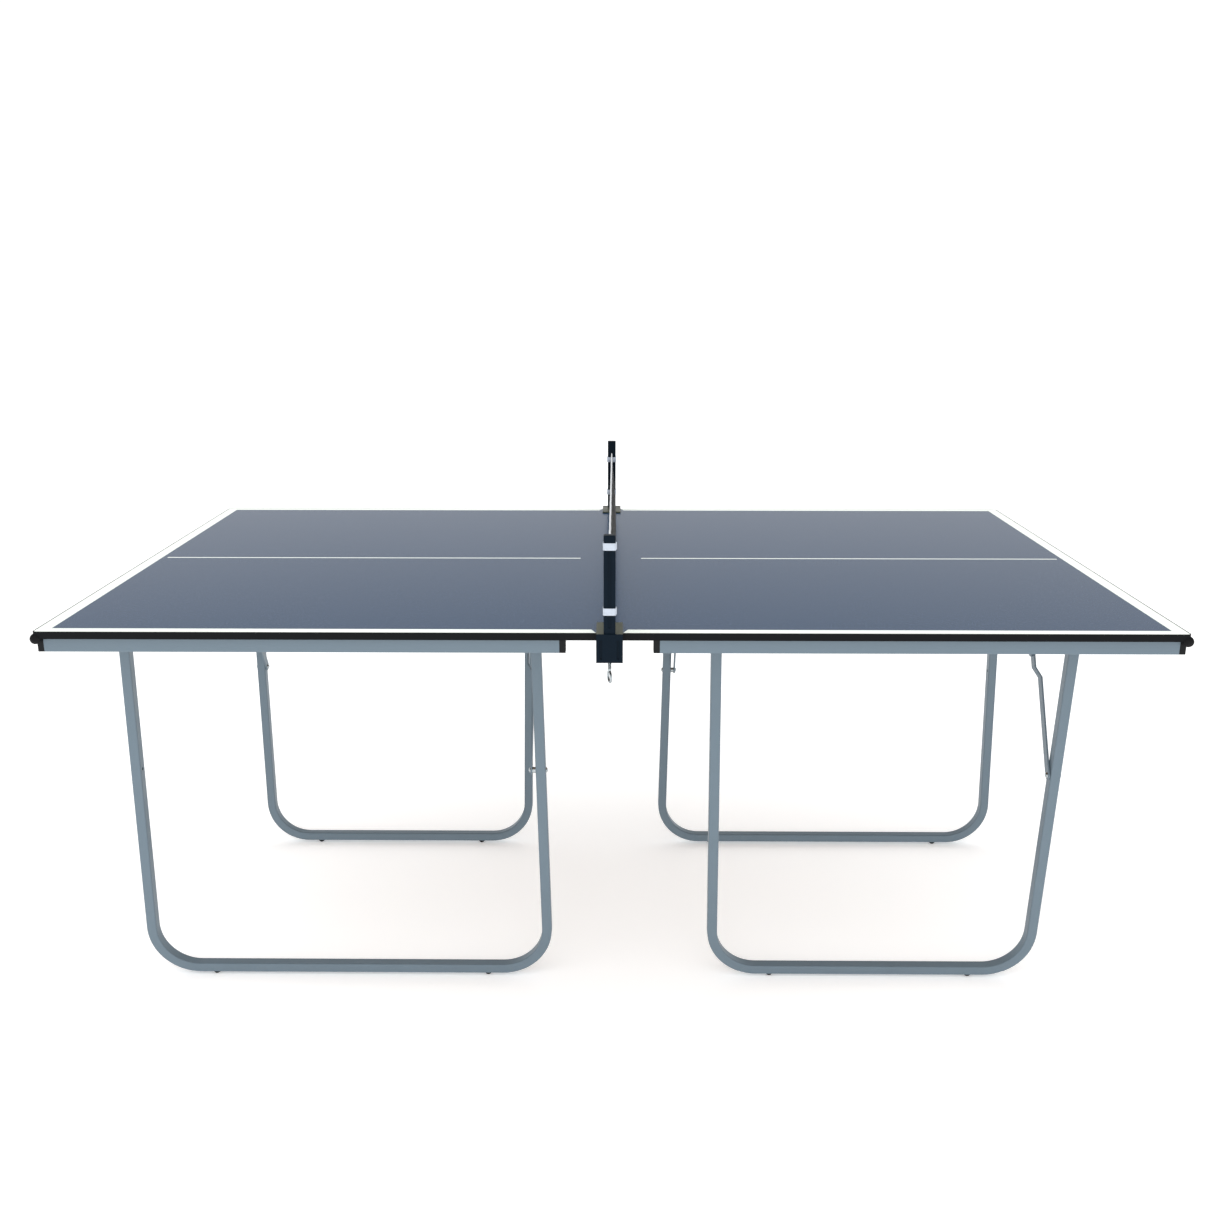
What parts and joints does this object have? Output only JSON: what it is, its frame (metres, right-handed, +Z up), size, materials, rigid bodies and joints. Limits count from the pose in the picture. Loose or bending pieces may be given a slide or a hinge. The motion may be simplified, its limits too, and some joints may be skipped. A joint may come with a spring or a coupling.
{
  "type": "table tennis table",
  "caption": "Mid-size table tennis table in two halves on folding U-shaped tube legs with folding stays, and a clamp-on net with eye screws.",
  "frame": {"origin": "on the floor under the middle of the table, where the two halves meet", "axes": "+X along the table's length, +Y across it to the far side, +Z up"},
  "size_m": [1.84, 0.948, 0.924],
  "materials": {
    "playing_surface": "satin painted fibreboard with a fine texture, white lines",
    "edge_band": "matt black edge band",
    "silver_paint": "grey-silver satin paint",
    "black_plastic": "moulded black plastic",
    "black_rubber": "matt black rubber",
    "zinc": "bright zinc-plated steel",
    "navy_plastic": "fine-grained moulded plastic, very dark blue",
    "jaw_plate": "dark olive satin paint",
    "white_strap": "woven white hook-and-loop strap",
    "net_mesh": "dark knotted nylon net",
    "net_tape": "woven white tape"
  },
  "bodies": {
    "left_half": {"left_board": "playing_surface", "left_edge_band": "edge_band", "left_long_rails": "silver_paint", "left_cross_rails": "silver_paint", "left_rail_caps": "black_plastic", "left_rail_screws": "zinc", "left_corner_bumpers": "black_rubber", "left_leg_brackets": "zinc", "left_stay_brackets": "zinc", "left_bracket_screws": "zinc", "left_pivot_bolts": "zinc", "joint_pins": "zinc", "net_posts": "navy_plastic", "clamp_bodies": "navy_plastic", "clamp_jaw_plates": "jaw_plate", "post_straps": "white_strap", "net": "net_mesh", "net_tape": "net_tape"},
    "right_half": {"right_board": "playing_surface", "right_edge_band": "edge_band", "right_long_rails": "silver_paint", "right_cross_rails": "silver_paint", "right_rail_caps": "black_plastic", "right_rail_screws": "zinc", "right_corner_bumpers": "black_rubber", "right_leg_brackets": "zinc", "right_stay_brackets": "zinc", "right_bracket_screws": "zinc", "right_pivot_bolts": "zinc", "joint_sockets": "black_plastic"},
    "left_wide_leg": {"left_wide_leg_tube": "silver_paint", "left_wide_leg_feet": "black_rubber", "left_wide_stay_bolt": "zinc"},
    "left_wide_lower_stay": {"left_wide_lower_stay": "silver_paint", "left_wide_knee_rivet": "zinc"},
    "left_wide_upper_stay": {"left_wide_upper_stay": "silver_paint"},
    "left_narrow_leg": {"left_narrow_leg_tube": "silver_paint", "left_narrow_leg_feet": "black_rubber", "left_narrow_stay_bolt": "zinc"},
    "left_narrow_lower_stay": {"left_narrow_lower_stay": "silver_paint", "left_narrow_knee_rivet": "zinc"},
    "left_narrow_upper_stay": {"left_narrow_upper_stay": "silver_paint"},
    "right_wide_leg": {"right_wide_leg_tube": "silver_paint", "right_wide_leg_feet": "black_rubber", "right_wide_stay_bolt": "zinc"},
    "right_wide_lower_stay": {"right_wide_lower_stay": "silver_paint", "right_wide_knee_rivet": "zinc"},
    "right_wide_upper_stay": {"right_wide_upper_stay": "silver_paint"},
    "right_narrow_leg": {"right_narrow_leg_tube": "silver_paint", "right_narrow_leg_feet": "black_rubber", "right_narrow_stay_bolt": "zinc"},
    "right_narrow_lower_stay": {"right_narrow_lower_stay": "silver_paint", "right_narrow_knee_rivet": "zinc"},
    "right_narrow_upper_stay": {"right_narrow_upper_stay": "silver_paint"},
    "near_clamp_pad": {"near_clamp_pad": "black_rubber"},
    "near_eye_screw": {"near_eye_screw": "zinc"},
    "far_clamp_pad": {"far_clamp_pad": "black_rubber"},
    "far_eye_screw": {"far_eye_screw": "zinc"}
  },
  "joints": [
    {"name": "halves_pull_apart", "type": "slide", "parent": "left_half", "child": "right_half", "axis": [1, 0, 0], "range_m": [0, 0.15]},
    {"name": "left_wide_leg_fold", "type": "hinge", "parent": "left_half", "child": "left_wide_leg", "pos_m": [-0.496, -0.262, 0.712], "axis": [1, 0, 0], "range_deg": [0, 70.43]},
    {"name": "left_wide_lower_stay_swing", "type": "hinge", "parent": "left_wide_leg", "child": "left_wide_lower_stay", "pos_m": [-0.496, -0.25674, 0.43005], "axis": [1, 0, 0], "range_deg": [0, 25.68]},
    {"name": "left_wide_upper_stay_swing", "type": "hinge", "parent": "left_half", "child": "left_wide_upper_stay", "pos_m": [-0.496, -0.112, 0.712], "axis": [1, 0, 0], "range_deg": [-57.35, 0]},
    {"name": "left_narrow_leg_fold", "type": "hinge", "parent": "left_half", "child": "left_narrow_leg", "pos_m": [-0.496, 0.286, 0.712], "axis": [-1, 0, 0], "range_deg": [0, 86.88]},
    {"name": "left_narrow_lower_stay_swing", "type": "hinge", "parent": "left_narrow_leg", "child": "left_narrow_lower_stay", "pos_m": [-0.496, 0.27064, 0.43042], "axis": [-1, 0, 0], "range_deg": [0, 28.68]},
    {"name": "left_narrow_upper_stay_swing", "type": "hinge", "parent": "left_half", "child": "left_narrow_upper_stay", "pos_m": [-0.496, 0.136, 0.712], "axis": [-1, 0, 0], "range_deg": [-64.44, 0]},
    {"name": "right_wide_leg_fold", "type": "hinge", "parent": "right_half", "child": "right_wide_leg", "pos_m": [0.496, 0.262, 0.712], "axis": [-1, 0, 0], "range_deg": [0, 70.43]},
    {"name": "right_wide_lower_stay_swing", "type": "hinge", "parent": "right_wide_leg", "child": "right_wide_lower_stay", "pos_m": [0.496, 0.25674, 0.43005], "axis": [-1, 0, 0], "range_deg": [0, 25.68]},
    {"name": "right_wide_upper_stay_swing", "type": "hinge", "parent": "right_half", "child": "right_wide_upper_stay", "pos_m": [0.496, 0.112, 0.712], "axis": [-1, 0, 0], "range_deg": [-57.35, 0]},
    {"name": "right_narrow_leg_fold", "type": "hinge", "parent": "right_half", "child": "right_narrow_leg", "pos_m": [0.496, -0.286, 0.712], "axis": [1, 0, 0], "range_deg": [0, 86.88]},
    {"name": "right_narrow_lower_stay_swing", "type": "hinge", "parent": "right_narrow_leg", "child": "right_narrow_lower_stay", "pos_m": [0.496, -0.27064, 0.43042], "axis": [1, 0, 0], "range_deg": [0, 28.68]},
    {"name": "right_narrow_upper_stay_swing", "type": "hinge", "parent": "right_half", "child": "right_narrow_upper_stay", "pos_m": [0.496, -0.136, 0.712], "axis": [1, 0, 0], "range_deg": [-64.44, 0]},
    {"name": "near_clamp_pad_travel", "type": "slide", "parent": "left_half", "child": "near_clamp_pad", "axis": [0, 0, -1], "range_m": [0, 0.003]},
    {"name": "near_eye_screw_turn", "type": "hinge", "parent": "near_clamp_pad", "child": "near_eye_screw", "pos_m": [0, -0.4375, 0.7], "axis": [0, 0, 1], "range_deg": [0, 720]},
    {"name": "far_clamp_pad_travel", "type": "slide", "parent": "left_half", "child": "far_clamp_pad", "axis": [0, 0, -1], "range_m": [0, 0.003]},
    {"name": "far_eye_screw_turn", "type": "hinge", "parent": "far_clamp_pad", "child": "far_eye_screw", "pos_m": [0, 0.4375, 0.7], "axis": [0, 0, 1], "range_deg": [0, 720]}
  ],
  "couplings": [
    {"joint": "left_wide_leg_fold", "follows": "left_narrow_leg_fold", "ratio": 0.81069},
    {"joint": "left_wide_lower_stay_swing", "follows": "left_narrow_leg_fold", "ratio": 0.29561},
    {"joint": "left_wide_upper_stay_swing", "follows": "left_narrow_leg_fold", "ratio": -0.66017},
    {"joint": "left_narrow_lower_stay_swing", "follows": "left_narrow_leg_fold", "ratio": 0.33009},
    {"joint": "left_narrow_upper_stay_swing", "follows": "left_narrow_leg_fold", "ratio": -0.74178},
    {"joint": "right_wide_leg_fold", "follows": "right_narrow_leg_fold", "ratio": 0.81069},
    {"joint": "right_wide_lower_stay_swing", "follows": "right_narrow_leg_fold", "ratio": 0.29561},
    {"joint": "right_wide_upper_stay_swing", "follows": "right_narrow_leg_fold", "ratio": -0.66017},
    {"joint": "right_narrow_lower_stay_swing", "follows": "right_narrow_leg_fold", "ratio": 0.33009},
    {"joint": "right_narrow_upper_stay_swing", "follows": "right_narrow_leg_fold", "ratio": -0.74178},
    {"joint": "near_eye_screw_turn", "follows": "near_clamp_pad_travel", "rad_per_m": 4188.8},
    {"joint": "far_eye_screw_turn", "follows": "far_clamp_pad_travel", "rad_per_m": 4188.8}
  ]
}
